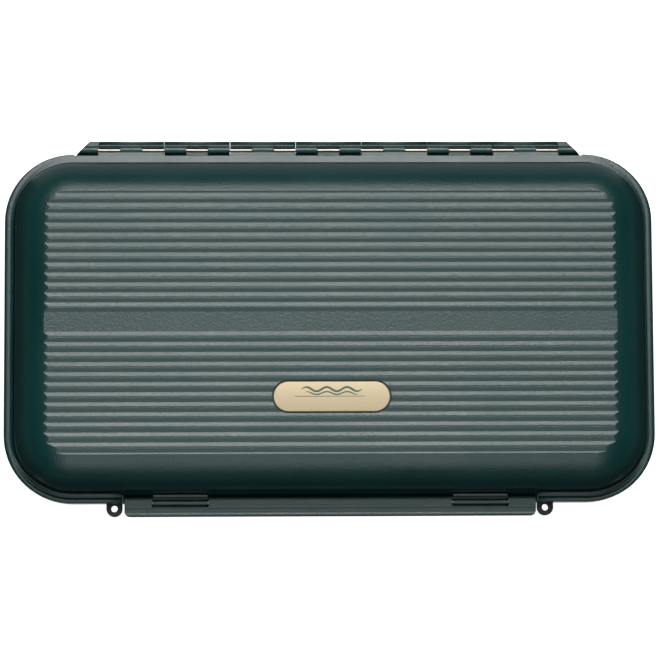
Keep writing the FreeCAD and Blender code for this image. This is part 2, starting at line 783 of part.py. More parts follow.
def latch_top():
    """The latch's upper section, from its inner face round the knuckle, over the flat and down to the lip."""
    knuckle = size["latch_knuckle"]
    inner_back = -(size["latch_axis_in"] + size["latch_inner_face"])
    outer_back = -(size["latch_axis_in"] + size["latch_outer_face"])
    flat_up = size["latch_flat_up"]
    rear = size["latch_flat_rear"]
    rear_edge = size["latch_rear_edge"]
    rear_edge_up = root(knuckle * knuckle - rear_edge * rear_edge)
    rear_run = rear_edge - rear
    rear_drop = flat_up - rear_edge_up
    rear_radius = (rear_run * rear_run + rear_drop * rear_drop) / (2 * rear_drop)
    front = -size["latch_flat_front"]
    run = size["latch_bend_run"]
    drop = size["latch_bend_drop"]
    bend_radius = (run * run + drop * drop) / (2 * drop)
    hollow_back = front - 2 * run
    hollow_centre_up = flat_up + bend_radius - 2 * drop
    lip_run = size["latch_lip_run"]
    lip_up = hollow_centre_up - root(bend_radius * bend_radius - lip_run * lip_run)
    lip_round = size["latch_lip_round"]
    lip_front = latch_lip_back - lip_round
    return [
        latch_arc(inner_back, -root(knuckle * knuckle - inner_back * inner_back), ZERO, ZERO, True),
        latch_arc(rear_edge, rear_edge_up, rear, flat_up - rear_radius, True),
        latch_line(rear, flat_up),
        latch_arc(front, flat_up, front, flat_up - bend_radius, True),
        latch_arc(front - run, flat_up - drop, hollow_back, hollow_centre_up, False),
        latch_arc(latch_lip_back, lip_up, latch_lip_back, lip_up - lip_round, True),
        latch_line(lip_front, lip_up - lip_round),
        latch_line(lip_front, lip_up - lip_round - size["latch_lip_face"]),
        latch_line(outer_back, -size["latch_lip_under"]),
    ]


def make_latch_bar():
    """The flip latch: a plate with a lip, a catch and a finger tab, hung from three knuckles."""
    body = new_body("latch_bar")
    half = size["latch_half"]
    inner = size["latch_inner_face"]
    outer = size["latch_outer_face"]
    catch = size["catch_radius"]
    plate_section = [
        front_line(outer, -size["latch_lower_edge"]),
        front_line(inner, -size["latch_lower_edge"]),
        front_arc(inner, -(size["catch_drop"] + catch), inner, -size["catch_drop"]),
        front_line(inner, catch - size["catch_drop"]),
    ]
    prism(body, "Pad", "plate", [plate_section + latch_top()], -half, half)
    tab = [
        front_line(inner, -size["tab_root"]),
        front_line(outer, -size["tab_root"]),
        front_line(size["tab_reach"], -size["tab_tip"]),
        front_line(size["tab_reach"] - size["tab_thickness"], -size["tab_tip"]),
    ]
    prism(body, "Pad", "finger_tab", [tab], -size["tab_half"], size["tab_half"])
    clear = latch_z + size["latch_knuckle"] + size["overrun"]
    behind = latch_y + size["latch_knuckle"] + size["overrun"]
    opening = box_outline(-(rim_half_depth + inner), behind, parting, clear)
    for name, low, high in latch_windows(ZERO):
        prism(body, "Pocket", f"opening_{name}", [opening], low, high)
    reach = half - size["latch_pin_inset"]
    round_prism(body, "Pocket", "pin_bore", latch_y, latch_z, latch_bore, -reach, reach)

    # Rounded ends, in plan
    spare = size["overrun"]
    bend = size["latch_end_round"]
    for name, sign in (("left", -1), ("right", 1)):
        corner = [
            arc(sign * half, latch_front + bend, sign * (half - bend), latch_front + bend, sign < 0),
            line(sign * (half - bend), latch_front),
            line(sign * (half - bend), latch_front - spare),
            line(sign * (half + spare), latch_front - spare),
            line(sign * (half + spare), latch_front + bend),
        ]
        low = parting - size["tab_tip"]
        plate(body, "Pocket", f"end_round_{name}", [corner], low, clear)
    return body


def make_bar(label, radius, half, y, z):
    """A round pin along X."""
    bar = document.addObject("Part::Cylinder", label)
    bar.Label = label
    bar.Placement = Placement(Vector(), Rotation(Vector(0, 1, 0), 90))
    bind(bar, "Radius", radius)
    bind(bar, "Height", 2 * half)
    bind(bar, "Placement.Base.x", -half)
    bind(bar, "Placement.Base.y", y)
    bind(bar, "Placement.Base.z", z)
    return bar


def make_lanyard_eye(label, sign):
    """An eye for a lanyard, held by a tongue in the base's rim."""
    body = new_body(label)
    centre = sign * size["eye_half"]
    low = parting - size["eye_top"] - size["eye_height"]
    high = parting - size["eye_top"]
    hole_y = -(rim_half_depth + size["eye_out"])
    west = centre - size["eye_radius"]
    east = centre + size["eye_radius"]
    ring = [
        line(east, -rim_half_depth),
        line(west, -rim_half_depth),
        arc(west, hole_y, centre, hole_y, True),
        line(east, hole_y),
    ]
    plate(body, "Pad", "ring", [ring], low, high)
    half_width = size["eye_tongue_width"] / 2
    tongue = box_outline(
        centre - half_width, centre + half_width, -rim_half_depth, size["eye_tongue_reach"] - rim_half_depth
    )
    middle = (low + high) / 2
    half_height = size["eye_tongue_height"] / 2
    plate(body, "Pad", "tongue", [tongue], middle - half_height, middle + half_height)
    hole = new_sketch(body, "hole_plan", "XY_Plane", low - size["overrun"])
    add_circle(hole, centre, hole_y, size["eye_hole"])
    feature(body, "Pocket", "hole", hole, high - low + 2 * size["overrun"], reverse=True)
    return body


def make_seal():
    """The seal ring in the base's rim, its crown rounded."""
    body = new_body("seal_ring")
    slack = (size["seal_groove_width"] - size["seal_width"]) / 2
    low = parting - half_gap - size["seal_groove_depth"]
    outer = size["seal_inset"] + slack
    loops = [rim_outline(outer), rim_outline(outer + size["seal_width"])]
    ring = plate(body, "Pad", "ring", loops, low, low + size["seal_height"])
    fillet = dress_top(body, "Fillet", "crown", ring, low + size["seal_height"] / 2)
    bind(fillet, "Radius", size["seal_round"])
    return body


def make_badge():
    """The badge: a flat bar with round ends and a bevelled face."""
    body = new_body("badge_plate")
    high = parting + size["half_thickness"]
    low = high - size["badge_thickness"]
    outline = stadium(badge_half_length, badge_half_depth, ZERO, -size["badge_forward"])
    bar = plate(body, "Pad", "plate", [outline], low, high)
    bevel = dress_top(body, "Chamfer", "bevel", bar, (low + high) / 2)
    bind(bevel, "Size", size["badge_bevel"])
    return body


# Trays and foam: each tray stands on feet on its shell's crown and has a rail between neighbouring strips

foam_reach = size["foam_length"] / 2
foam_half_width = size["foam_width"] / 2
inner_radius_square = (
    inner_centre_drop * inner_centre_drop + size["shoulder_crease"] * size["shoulder_crease"]
)
tray_rise = inner_centre_drop - size["tray_leg"]
tray_inset = shoulder_centre - root(inner_radius_square - tray_rise * tray_rise) + size["tray_clearance"]
tray_top_depth = inner_crown - size["tray_leg"] - size["tray_plate"]


def make_tray(label, side):
    body = new_body(label)
    low, high = side.span(tray_top_depth, tray_top_depth + size["tray_plate"])
    plate(body, "Pad", "plate", [rim_outline(tray_inset)], low, high)
    low, high = side.span(tray_top_depth + size["tray_plate"], inner_crown)
    feet = new_sketch(body, "feet_plan", "XY_Plane", low)
    for x in (-size["foot_spread_x"], ZERO, size["foot_spread_x"]):
        for y in (-size["foot_spread_y"], size["foot_spread_y"]):
            add_circle(feet, x, y, size["foot_radius"])
    feature(body, "Pad", "feet", feet, high - low)
    low, high = side.span(tray_top_depth - size["rail_height"], tray_top_depth)
    half_rail = size["foam_pitch"] / 2 - foam_half_width - size["foam_side_gap"]
    first = -(size["foam_pitch"] * (FOAM_STRIPS / 2 - 1))
    plan = box_outline(-foam_reach, foam_reach, first - half_rail, first + half_rail)
    rail = plate(body, "Pad", "rail", [plan], low, high)
    row(body, rail, "rails", "V_Axis", size["foam_pitch"], FOAM_STRIPS - 1)
    return body


def make_foam(label, side, number):
    """One foam strip, lying on its tray."""
    strip = document.addObject("Part::Box", label)
    strip.Label = label
    low, high = side.span(tray_top_depth - size["foam_height"], tray_top_depth)
    bind(strip, "Length", size["foam_length"])
    bind(strip, "Width", size["foam_width"])
    bind(strip, "Height", high - low)
    centre = size["foam_pitch"] * (number - (FOAM_STRIPS + 1) / 2)
    bind(strip, "Placement.Base.x", -foam_reach)
    bind(strip, "Placement.Base.y", centre - foam_half_width)
    bind(strip, "Placement.Base.z", low)
    return strip


def make_parts():
    parts = [
        make_base_shell(),
        make_lid_shell(),
        make_bar("hinge_pin", size["hinge_pin_radius"], pin_half, hinge_y, parting),
        make_latch_bar(),
        make_bar(
            "latch_pin",
            size["latch_pin_radius"],
            size["latch_half"] - size["latch_pin_inset"],
            latch_y,
            latch_z,
        ),
        make_seal(),
        make_badge(),
        make_lanyard_eye("lanyard_eye_left", -1),
        make_lanyard_eye("lanyard_eye_right", 1),
    ]
    for name, side in (("base", Side(False)), ("lid", Side(True))):
        parts.append(make_tray(f"{name}_tray", side))
        for number in range(1, FOAM_STRIPS + 1):
            parts.append(make_foam(f"{name}_foam_{number}", side, number))
    return parts


def check_and_write(parts):
    """Stop on any object that failed, then write each piece to a file of its own."""
    document.recompute()
    for thing in document.Objects:
        if "Invalid" in thing.State or "Error" in thing.State:
            raise RuntimeError(f"{thing.Name} failed: {thing.State}")
    for part in parts:
        if part.Shape.isNull() or not part.Shape.isValid() or len(part.Shape.Solids) != 1:
            raise RuntimeError(f"{part.Label} isn't one valid solid")
    os.makedirs("parts", exist_ok=True)
    for part in parts:
        part.Shape.exportStep(f"parts/{part.Label}.step")
        print(f"{part.Label}: {part.Shape.Volume:.1f} mm3")


check_and_write(make_parts())
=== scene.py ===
import math

import bmesh
import bpy
from mathutils import Matrix, Vector


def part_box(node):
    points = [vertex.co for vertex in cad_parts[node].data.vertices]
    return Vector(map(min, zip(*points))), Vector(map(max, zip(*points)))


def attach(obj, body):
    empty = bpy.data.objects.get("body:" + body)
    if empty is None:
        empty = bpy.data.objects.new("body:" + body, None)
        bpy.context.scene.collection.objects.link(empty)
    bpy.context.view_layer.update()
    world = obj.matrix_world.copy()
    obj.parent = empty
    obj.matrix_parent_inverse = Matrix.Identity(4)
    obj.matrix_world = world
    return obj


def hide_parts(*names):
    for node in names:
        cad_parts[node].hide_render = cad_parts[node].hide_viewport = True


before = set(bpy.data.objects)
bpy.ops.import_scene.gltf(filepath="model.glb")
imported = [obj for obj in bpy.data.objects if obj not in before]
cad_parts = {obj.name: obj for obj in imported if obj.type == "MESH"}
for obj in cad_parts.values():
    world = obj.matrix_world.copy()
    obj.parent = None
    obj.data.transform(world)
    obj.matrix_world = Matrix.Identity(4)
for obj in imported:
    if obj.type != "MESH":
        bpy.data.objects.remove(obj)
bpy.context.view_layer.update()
MM = 0.001

# Shader settings in metres
BEVEL_SAMPLES = 6
GRAIN_DEPTH = 0.00013
BRUSH_DEPTH = 0.00001

# What the camera and the gloss see of the world and the floor
WORLD_PALE = 0.80
FLOOR_PALE = 0.84

scene = bpy.context.scene
scene.view_settings.view_transform = "Standard"


# Camera: nearly straight above, leaning a little to the front

def make_camera():
    """The photograph's view, fitted to points on the case's rim and crown."""
    target = Vector((-0.013, -0.456, 24.0)) * MM
    lean = Matrix.Rotation(math.radians(-5.803), 3, "X")
    roll = Matrix.Rotation(math.radians(1.648), 3, "Y")
    turn = Matrix.Rotation(math.radians(0.124), 3, "Z")
    to_world = (turn @ roll @ lean).transposed()
    distance = 0.9
    sensor = 36.0
    focal_pixels, picture_pixels = 2976.4, 659
    data = bpy.data.cameras.new("Camera")
    data.sensor_width = sensor
    data.lens = focal_pixels / picture_pixels * sensor
    data.clip_start = 0.05
    data.clip_end = 20
    camera = bpy.data.objects.new("Camera", data)
    place = target + to_world @ Vector((0, 0, distance))
    camera.matrix_world = Matrix.Translation(place) @ to_world.to_4x4()
    scene.collection.objects.link(camera)
    scene.camera = camera


# Lamps

def softbox(name, place, aim, width, height, radiance):
    """A white rectangular lamp that faces a point."""
    data = bpy.data.lights.new(name, "AREA")
    data.shape = "RECTANGLE"
    data.size = width
    data.size_y = height
    data.energy = radiance * math.pi * width * height
    lamp = bpy.data.objects.new(name, data)
    direction = Vector(aim) - Vector(place)
    lamp.rotation_euler = direction.to_track_quat("-Z", "Y").to_euler()
    lamp.location = place
    scene.collection.objects.link(lamp)


def make_lamps():
    """A soft light overhead, a bright narrow one and its fill behind, and a tall one in front."""
    floor_point, case_point = (0, 0, 0), (0, 0, 0.02)
    softbox("top_softbox", (0.0, 0.06, 1.6), floor_point, width=1.0, height=0.62, radiance=1.32)
    softbox("rear_softbox", (0.0, 0.69, 1.42), case_point, width=0.85, height=0.49, radiance=14.0)
    softbox("rear_fill_softbox", (0.0, 1.0, 1.24), case_point, width=1.2, height=0.55, radiance=2.6)
    softbox("front_softbox", (0.0, -0.92, 1.18), case_point, width=0.8, height=1.25, radiance=2.15)


# Node helpers

class Nodes:
    """Builds one node tree."""

    def __init__(self, tree):
        self.tree = tree

    def add(self, kind, inputs=None, **settings):
        node = self.tree.nodes.new(kind)
        for key, value in settings.items():
            setattr(node, key, value)
        for key, value in (inputs or {}).items():
            socket = node.inputs[key]
            if isinstance(value, bpy.types.NodeSocket):
                self.tree.links.new(value, socket)
            else:
                socket.default_value = value
        return node

    def math(self, operation, first, second, clamp=False):
        inputs = {0: first, 1: second}
        return self.add("ShaderNodeMath", inputs, operation=operation, use_clamp=clamp).outputs[0]

    def ramp(self, value, low, high, to_low=0.0, to_high=1.0):
        inputs = {"Value": value, "From Min": low, "From Max": high, "To Min": to_low, "To Max": to_high}
        return self.add("ShaderNodeMapRange", inputs).outputs[0]

    def mix(self, share, first, second):
        node = self.add("ShaderNodeMix", data_type="RGBA")
        for index, value in ((0, share), (6, first), (7, second)):
            if isinstance(value, bpy.types.NodeSocket):
                self.tree.links.new(value, node.inputs[index])
            else:
                node.inputs[index].default_value = value
        return node.outputs[2]

    def noise(self, coordinates, scale, detail=2.0, roughness=0.5):
        inputs = {"Vector": coordinates, "Scale": scale, "Detail": detail, "Roughness": roughness}
        return self.add("ShaderNodeTexNoise", inputs).outputs[0]


def new_material(name):
    material = bpy.data.materials.new(name)
    material.use_nodes = True
    material.node_tree.nodes.clear()
    nodes = Nodes(material.node_tree)
    output = nodes.add("ShaderNodeOutputMaterial")
    return material, nodes, output


def rgba(colour):
    return (*colour, 1.0)


def scaled(colour, factor):
    return tuple(channel * factor for channel in colour)


def moulded_plastic(name, colour, roughness, grain=0.35, edge_radius=0.00025, specular=0.5):
    """Moulded plastic: a fine spark-eroded grain, faint mottling and softened, slightly worn edges."""
    material, nodes, output = new_material(name)
    place = nodes.add("ShaderNodeTexCoord").outputs["Object"]
    cloud = nodes.noise(place, 38.0, 3.0)
    speck = nodes.noise(place, 1500.0, 2.0, 0.6)
    pits = nodes.noise(place, 5200.0, 1.0)
    soft = nodes.add("ShaderNodeBevel", {"Radius": edge_radius}, samples=BEVEL_SAMPLES)
    flat = nodes.add("ShaderNodeNewGeometry").outputs["Normal"]
    normals = {0: soft.outputs[0], 1: flat}
    agree = nodes.add("ShaderNodeVectorMath", normals, operation="DOT_PRODUCT").outputs["Value"]
    edge = nodes.ramp(agree, 0.995, 0.86)
    scuff = nodes.noise(place, 420.0, 4.0, 0.65)
    wear = nodes.math("MULTIPLY", edge, nodes.ramp(scuff, 0.46, 0.66), clamp=True)
    mottled = nodes.mix(nodes.ramp(cloud, 0.3, 0.7), rgba(scaled(colour, 0.88)), rgba(scaled(colour, 1.12)))
    fine = nodes.mix(nodes.ramp(speck, 0.35, 0.7, 0.0, 0.35), mottled, rgba(scaled(colour, 1.6)))
    rubbed = tuple(0.55 * channel + 0.045 for channel in colour)
    worn = nodes.mix(nodes.math("MULTIPLY", wear, 0.28), fine, rgba(rubbed))
    rough = nodes.math("ADD", nodes.ramp(cloud, 0.3, 0.7, roughness - 0.03, roughness + 0.03),
                       nodes.ramp(speck, 0.3, 0.7, -0.03, 0.03))
    height = nodes.math("ADD", nodes.math("MULTIPLY", speck, 0.7), nodes.math("MULTIPLY", pits, 0.3))
    bump = nodes.add("ShaderNodeBump", {"Strength": grain, "Distance": GRAIN_DEPTH, "Height": height,
                                        "Normal": soft.outputs[0]})
    shader = nodes.add("ShaderNodeBsdfPrincipled", {"Base Color": worn, "Roughness": rough,
                                                    "Normal": bump.outputs[0]})
    shader.inputs["IOR"].default_value = 1.5
    shader.inputs["Specular IOR Level"].default_value = specular
    nodes.tree.links.new(shader.outputs[0], output.inputs[0])
    return material


def drawn_steel(name, colour):
    """Bright drawn wire: fine scratches along X."""
    material, nodes, output = new_material(name)
    place = nodes.add("ShaderNodeTexCoord").outputs["Object"]
    drawn = {"Vector": place, "Scale": (60.0, 6000.0, 6000.0)}
    stretched = nodes.add("ShaderNodeMapping", drawn).outputs[0]
    scratch = nodes.noise(stretched, 1.0, 3.0, 0.6)
    stain = nodes.noise(place, 90.0, 3.0)
    tint = nodes.mix(nodes.ramp(stain, 0.35, 0.7), rgba(colour), rgba(scaled(colour, 0.86)))
    rough = nodes.ramp(scratch, 0.3, 0.7, 0.34, 0.46)
    bump = nodes.add("ShaderNodeBump", {"Strength": 0.25, "Distance": BRUSH_DEPTH, "Height": scratch})
    shader = nodes.add("ShaderNodeBsdfPrincipled", {"Base Color": tint, "Roughness": rough,
                                                    "Metallic": 1.0, "Normal": bump.outputs[0]})
    nodes.tree.links.new(shader.outputs[0], output.inputs[0])
    return material


def satin_gold(name, colour, middle_y):
    """Pale gold foil under clear lacquer on a plate that is a little crowned across, brushed along X."""
    material, nodes, output = new_material(name)
    place = nodes.add("ShaderNodeTexCoord").outputs["Object"]
    strokes = {"Vector": place, "Scale": (150.0, 9000.0, 9000.0)}
    stretched = nodes.add("ShaderNodeMapping", strokes).outputs[0]
    brushed = nodes.noise(stretched, 1.0, 3.0, 0.6)
    cloud = nodes.noise(place, 120.0, 2.0)
    tint = nodes.mix(nodes.ramp(brushed, 0.3, 0.7), rgba(scaled(colour, 0.95)), rgba(scaled(colour, 1.04)))
    warmer = (colour[0], colour[1] * 0.95, colour[2] * 0.84)
    warm = nodes.mix(nodes.ramp(cloud, 0.3, 0.75, 0.0, 0.35), tint, rgba(warmer))
    rough = nodes.ramp(brushed, 0.3, 0.7, 0.36, 0.46)
    soft = nodes.add("ShaderNodeBevel", {"Radius": 0.00015}, samples=BEVEL_SAMPLES)
    across = nodes.add("ShaderNodeSeparateXYZ", {"Vector": place}).outputs["Y"]
    offset = nodes.math("SUBTRACT", across, middle_y)
    crown = nodes.math("MULTIPLY", nodes.math("MULTIPLY", offset, offset), -6.0)
    crowned = nodes.add("ShaderNodeBump", {"Strength": 1.0, "Distance": 1.0, "Height": crown,
                                           "Normal": soft.outputs[0]})
    bump = nodes.add("ShaderNodeBump", {"Strength": 0.12, "Distance": BRUSH_DEPTH, "Height": brushed,
                                        "Normal": crowned.outputs[0]})
    shader = nodes.add("ShaderNodeBsdfPrincipled", {"Base Color": warm, "Roughness": rough,
                                                    "Metallic": 0.5, "Normal": bump.outputs[0]})
    shader.inputs["Coat Weight"].default_value = 0.5
    shader.inputs["Coat Roughness"].default_value = 0.25
    nodes.tree.links.new(shader.outputs[0], output.inputs[0])
    return material


def cell_foam(name, colour):
    """Closed-cell foam: small round cells, matt."""
    material, nodes, output = new_material(name)
    place = nodes.add("ShaderNodeTexCoord").outputs["Object"]
    cells = nodes.add("ShaderNodeTexVoronoi", {"Vector": place, "Scale": 2200.0}, feature="F1").outputs[0]
    cloud = nodes.noise(place, 60.0, 3.0)
    shade = nodes.mix(nodes.ramp(cells, 0.1, 0.8), rgba(scaled(colour, 0.82)), rgba(colour))
    aged = (colour[0] * 0.95, colour[1] * 0.93, colour[2] * 0.86)
    tint = nodes.mix(nodes.ramp(cloud, 0.3, 0.7, 0.0, 0.4), shade, rgba(aged))
    bump = nodes.add("ShaderNodeBump", {"Strength": 0.5, "Distance": 0.0001, "Height": cells})
    shader = nodes.add("ShaderNodeBsdfPrincipled", {"Base Color": tint, "Normal": bump.outputs[0]})
    shader.inputs["Roughness"].default_value = 0.85
    nodes.tree.links.new(shader.outputs[0], output.inputs[0])
    return material


def background_flag(nodes):
    """1 for rays that see the background straight, by gloss or through glass."""
    path = nodes.add("ShaderNodeLightPath")
    flag = nodes.math("ADD", path.outputs["Is Camera Ray"], path.outputs["Is Glossy Ray"])
    return nodes.math("ADD", flag, path.outputs["Is Transmission Ray"], clamp=True)


def make_world():
    """A pale backdrop."""
    world = bpy.data.worlds.new("World")
    scene.world = world
    world.use_nodes = True
    world.node_tree.nodes.clear()
    nodes = Nodes(world.node_tree)
    pale = nodes.math("MULTIPLY", background_flag(nodes), WORLD_PALE)
    sky = nodes.add("ShaderNodeBackground", {"Color": (1, 1, 1, 1), "Strength": pale})
    output = nodes.add("ShaderNodeOutputWorld")
    world.node_tree.links.new(sky.outputs[0], output.inputs[0])


def make_floor():
    """A plain pale floor."""
    material, nodes, output = new_material("floor")
    place = nodes.add("ShaderNodeTexCoord").outputs["Object"]
    cloud = nodes.noise(place, 3.0, 2.0)
    tint = nodes.mix(nodes.ramp(cloud, 0.3, 0.7), (0.78, 0.78, 0.78, 1), (0.80, 0.80, 0.80, 1))
    matt = nodes.add("ShaderNodeBsdfDiffuse", {"Color": tint})
    seen = nodes.math("MULTIPLY", background_flag(nodes), FLOOR_PALE)
    glow = nodes.add("ShaderNodeEmission", {"Strength": seen})
    both = nodes.add("ShaderNodeAddShader", {0: matt.outputs[0], 1: glow.outputs[0]})
    nodes.tree.links.new(both.outputs[0], output.inputs[0])
    mesh = bpy.data.meshes.new("floor")
    reach = 12.0
    corners = [(-reach, -reach, 0), (reach, -reach, 0), (reach, reach, 0), (-reach, reach, 0)]
    mesh.from_pydata(corners, [], [(0, 1, 2, 3)])
    mesh.materials.append(material)
    floor = bpy.data.objects.new("floor", mesh)
    scene.collection.objects.link(floor)


def make_card():
    """A dark card on the floor round the case, greyer behind it, which keeps the floor's glare off its sides.

    The camera doesn't see it.
    """
    mesh = bpy.data.meshes.new("card")
    near_x, near_y, far, high = 0.10, 0.06, 0.9, 0.0005
    rear_face = 3
    corners = []
    for x, y in ((near_x, near_y), (far, far)):
        corners += [(-x, -y, high), (x, -y, high), (x, y, high), (-x, y, high)]
    faces = [(0, 4, 5, 1), (1, 5, 6, 2), (3, 7, 4, 0), (2, 6, 7, 3)]
    mesh.from_pydata(corners, [], faces)
    for name, grey in (("card", 0.03), ("card_rear", 0.30)):
        material, nodes, output = new_material(name)
        matt = nodes.add("ShaderNodeBsdfDiffuse", {"Color": (grey, grey, grey, 1)})
        nodes.tree.links.new(matt.outputs[0], output.inputs[0])
        mesh.materials.append(material)
    mesh.polygons[rear_face].material_index = 1
    card = bpy.data.objects.new("card", mesh)
    card.visible_camera = False
    card.visible_shadow = False
    scene.collection.objects.link(card)


def make_studio():
    """The dark studio round the set, which the case's gloss mirrors beside the lamps.

    The camera doesn't see it.
    """
    radius, radiance = 5.0, 0.02
    material, nodes, output = new_material("studio")
    dim = nodes.add("ShaderNodeEmission")
    dim.inputs["Strength"].default_value = radiance
    nodes.tree.links.new(dim.outputs[0], output.inputs[0])
    material.cycles.emission_sampling = "NONE"
    mesh = bpy.data.meshes.new("studio")
    shape = bmesh.new()
    bmesh.ops.create_icosphere(shape, subdivisions=3, radius=radius)
    shape.to_mesh(mesh)
    shape.free()
    mesh.materials.append(material)
    studio = bpy.data.objects.new("studio", mesh)
    studio.visible_camera = False
    studio.visible_shadow = False
    scene.collection.objects.link(studio)


# Pieces

def paint(obj, material):
    obj.data.materials.clear()
    obj.data.materials.append(material)


def new_piece(name, mesh, material, body):
    mesh.materials.append(material)
    piece = bpy.data.objects.new(name, mesh)
    scene.collection.objects.link(piece)
    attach(piece, body)
    return piece


def foam_mesh(name, low, high, top_up):
    """A foam strip with a row of slits across it and rounded, slightly crowned edges on the slit side.

    Each station along X has a kind: 1 is full height, 0 is the strip's end, a share between them sinks a little
    beside a slit, and a negative kind is a slit's bottom.
    """
    slit_pitch = 4.0 * MM
    slit_width = 0.22 * MM
    slit_depth = 3.2 * MM
    lip = 0.7 * MM
    end_round = 0.5 * MM
    end_drop = 0.45 * MM
    lip_drop = 1.2 * MM
    crown_drop = 0.12 * MM
    margin = 2.0 * MM
    count = int((high.x - low.x - 2 * margin) / slit_pitch) + 1
    first = (low.x + high.x) / 2 - (count - 1) / 2 * slit_pitch
    depth = high.z - low.z
    stations = [(low.x, 0.0), (low.x + end_round, 1.0)]
    for index in range(count):
        middle = first + index * slit_pitch
        stations += [(middle - lip, 1.0), (middle - slit_width / 2, 0.92), (middle, -1.0),
                     (middle + slit_width / 2, 0.92), (middle + lip, 1.0)]
    stations += [(high.x - end_round, 1.0), (high.x, 0.0)]
    half = (high.y - low.y) / 2
    middle_y = (high.y + low.y) / 2
    corner = 0.6 * MM
    across = [-1.0, -1.0, -0.93, -0.75, 0.0, 0.75, 0.93, 1.0, 1.0]
    drop = [depth, corner, corner * 0.3, crown_drop, 0.0, crown_drop, corner * 0.3, corner, depth]
    verts = []
    for x, kind in stations:
        for share, fall in zip(across, drop):
            if kind < 0:
                down = max(fall, slit_depth)
            elif kind == 0.0:
                down = max(fall, end_drop)
            else:
                down = fall + (1 - kind) * lip_drop if fall < depth else depth
            z = high.z - down if top_up else low.z + down
            verts.append((x, middle_y + share * half, z))
    wide = len(across)
    faces = []
    for row in range(len(stations) - 1):
        for col in range(wide - 1):
            a = row * wide + col
            faces.append((a, a + 1, a + wide + 1, a + wide))
        a = row * wide
        faces.append((a + wide - 1, a, a + wide, a + 2 * wide - 1))
    faces.append(tuple(range(wide)))
    last = (len(stations) - 1) * wide
    faces.append(tuple(range(last + wide - 1, last - 1, -1)))
    mesh = bpy.data.meshes.new(name)
    mesh.from_pydata(verts, [], faces)
    mesh.update()
    shape = bmesh.new()
    shape.from_mesh(mesh)
    bmesh.ops.recalc_face_normals(shape, faces=shape.faces)
    shape.to_mesh(mesh)
    shape.free()
    return mesh


def make_foam(material):
    for half, body, top_up in (("base", "base", True), ("lid", "lid", False)):
        for number in range(1, 9):
            node = f"{half}_foam_{number}"
            low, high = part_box(node)
            name = f"slit_{node}"
            piece = new_piece(name, foam_mesh(name, low, high, top_up), material, body)
            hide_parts(node)


def swept_mesh(name, rings, closed):
    """A mesh through rings of points, each joined to the next, and the last to the first where it is closed."""
    count = len(rings[0])
    verts = [point for ring in rings for point in ring]
    faces = []
    spans = len(rings) if closed else len(rings) - 1
    for index in range(spans):
        here = index * count
        there = (index + 1) % len(rings) * count
        for side in range(count):
            after = (side + 1) % count
            faces.append((here + side, here + after, there + after, there + side))
    if not closed:
        faces.append(tuple(range(count)))
        faces.append(tuple(range(len(verts) - 1, len(verts) - count - 1, -1)))
    mesh = bpy.data.meshes.new(name)
    mesh.from_pydata(verts, [], faces)
    shape = bmesh.new()
    shape.from_mesh(mesh)
    bmesh.ops.recalc_face_normals(shape, faces=shape.faces)
    shape.to_mesh(mesh)
    shape.free()
    mesh.polygons.foreach_set("use_smooth", [True] * len(mesh.polygons))
    mesh.update()
    return mesh


def make_seal(material):
    """The seal ring: a rubber cord with a flat foot, two sealing beads on top and a waist."""
    low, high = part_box("seal_ring")
    width = 1.5 * MM
    height = high.z - low.z
    outer_corner = 17.25 * MM
    # Share of the width inward from the outer face, share of the height
    profile = [
        (0.0, 0.04), (0.05, 0.0), (0.95, 0.0), (1.0, 0.04), (0.97, 0.30), (0.92, 0.50), (0.97, 0.70),
        (0.93, 0.88), (0.80, 0.98), (0.70, 1.0), (0.60, 0.95), (0.5, 0.86), (0.40, 0.95), (0.30, 1.0),
        (0.20, 0.98), (0.07, 0.88), (0.03, 0.70), (0.08, 0.50), (0.03, 0.30),
    ]
    rings = []
    steps = 14
    for corner, (sign_x, sign_y) in enumerate(((1, 1), (-1, 1), (-1, -1), (1, -1))):
        centre = Vector((sign_x * (high.x - outer_corner), sign_y * (high.y - outer_corner), 0))
        for step in range(steps + 1):
            angle = math.radians(90 * corner + 90 * step / steps)
            outward = Vector((math.cos(angle), math.sin(angle), 0))
            ring = []
            for inset, up in profile:
                rise = Vector((0, 0, low.z + up * height))
                ring.append(centre + outward * (outer_corner - inset * width) + rise)
            rings.append(ring)
    piece = new_piece("seal_cord", swept_mesh("seal_cord", rings, True), material, "base")
    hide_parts("seal_ring")


